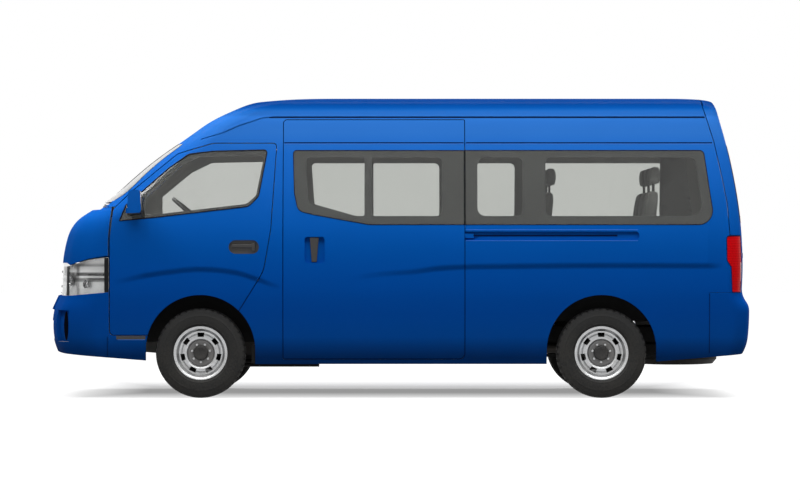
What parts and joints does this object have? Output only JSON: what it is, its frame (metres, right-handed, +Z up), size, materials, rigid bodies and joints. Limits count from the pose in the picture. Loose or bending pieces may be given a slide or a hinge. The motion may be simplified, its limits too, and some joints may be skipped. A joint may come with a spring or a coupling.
{
  "type": "minibus",
  "caption": "High-roof cab-over minibus with a sliding side door, opening front doors, front lid and tailgate, steering front wheels and rolling wheels.",
  "frame": {"origin": "on the ground below the middle of the length, on the centre plane", "axes": "+X from the nose to the tail, +Y from the vehicle's left side to its right, +Z up"},
  "size_m": [5.2469, 2.22, 2.222],
  "materials": {
    "paint": "gloss",
    "glass": "gloss",
    "black_plastic": "matte",
    "chrome": "gloss",
    "lamp_clear": "gloss",
    "lamp_red": "gloss",
    "chassis_black": "satin",
    "exhaust_steel": "satin",
    "iron": "matte",
    "floor_grey": "matte",
    "seat_cloth": "matte",
    "tyre": "matte",
    "rim_silver": "satin"
  },
  "bodies": {
    "body": {"front_bumper": "paint", "grille": "chrome", "headlamps": "lamp_clear", "cab_front": "paint", "cowl": "black_plastic", "windscreen": "glass", "sliding_door": "paint", "side_left": "paint", "side_right": "paint", "side_windows": "glass", "roof": "paint", "tail_lamps": "lamp_red", "rear_bumper": "paint", "floor_pan": "floor_grey", "seat_box": "floor_grey", "chassis_frame": "chassis_black", "engine": "iron", "fuel_tank": "chassis_black", "exhaust": "exhaust_steel", "front_suspension": "chassis_black", "rear_axle": "chassis_black", "propeller_shaft": "chassis_black", "leaf_springs": "chassis_black", "spare_wheel": "tyre", "dashboard": "black_plastic", "steering_wheel": "black_plastic", "front_seats": "seat_cloth", "passenger_seats": "seat_cloth"},
    "front_lid": {"front_lid": "paint"},
    "front_door_left": {"door_left": "paint", "door_glass_left": "glass", "mirror_left": "paint"},
    "front_door_right": {"door_right": "paint", "door_glass_right": "glass", "mirror_right": "paint"},
    "tailgate": {"tailgate": "paint", "tailgate_glass": "glass"},
    "steering_knuckle_left": {"knuckle_left": "chassis_black"},
    "steering_knuckle_right": {"knuckle_right": "chassis_black"},
    "front_wheel_left": {"tyre_front_left": "tyre", "rim_front_left": "rim_silver"},
    "front_wheel_right": {"tyre_front_right": "tyre", "rim_front_right": "rim_silver"},
    "rear_wheel_left": {"tyre_rear_left": "tyre", "rim_rear_left": "rim_silver"},
    "rear_wheel_right": {"tyre_rear_right": "tyre", "rim_rear_right": "rim_silver"}
  },
  "joints": [
    {"name": "front_lid_hinge", "type": "hinge", "parent": "body", "child": "front_lid", "pos_m": [-2.215, 0, 1.375], "axis": [0, 1, 0], "range_deg": [0, 50]},
    {"name": "door_hinge_left", "type": "hinge", "parent": "body", "child": "front_door_left", "pos_m": [-2.099, -0.92, 0.9], "axis": [0, 0, -1], "range_deg": [0, 65]},
    {"name": "door_hinge_right", "type": "hinge", "parent": "body", "child": "front_door_right", "pos_m": [-2.099, 0.92, 0.9], "axis": [0, 0, 1], "range_deg": [0, 65]},
    {"name": "tailgate_hinge", "type": "hinge", "parent": "body", "child": "tailgate", "pos_m": [2.232, 0, 2.206], "axis": [0, -1, 0], "range_deg": [0, 80]},
    {"name": "steer_left", "type": "hinge", "parent": "body", "child": "steering_knuckle_left", "pos_m": [-1.47, -0.74, 0.33], "axis": [0, 0, 1], "range_deg": [-35, 35]},
    {"name": "steer_right", "type": "hinge", "parent": "body", "child": "steering_knuckle_right", "pos_m": [-1.47, 0.74, 0.33], "axis": [0, 0, 1], "range_deg": [-35, 35]},
    {"name": "front_wheel_spin_left", "type": "hinge", "parent": "steering_knuckle_left", "child": "front_wheel_left", "pos_m": [-1.47, -0.82, 0.33], "axis": [0, 1, 0], "continuous": true},
    {"name": "front_wheel_spin_right", "type": "hinge", "parent": "steering_knuckle_right", "child": "front_wheel_right", "pos_m": [-1.47, 0.82, 0.33], "axis": [0, 1, 0], "continuous": true},
    {"name": "rear_wheel_spin_left", "type": "hinge", "parent": "body", "child": "rear_wheel_left", "pos_m": [1.47, -0.82, 0.33], "axis": [0, 1, 0], "continuous": true},
    {"name": "rear_wheel_spin_right", "type": "hinge", "parent": "body", "child": "rear_wheel_right", "pos_m": [1.47, 0.82, 0.33], "axis": [0, 1, 0], "continuous": true}
  ],
  "couplings": [
    {"joint": "steer_right", "follows": "steer_left", "ratio": 1}
  ]
}
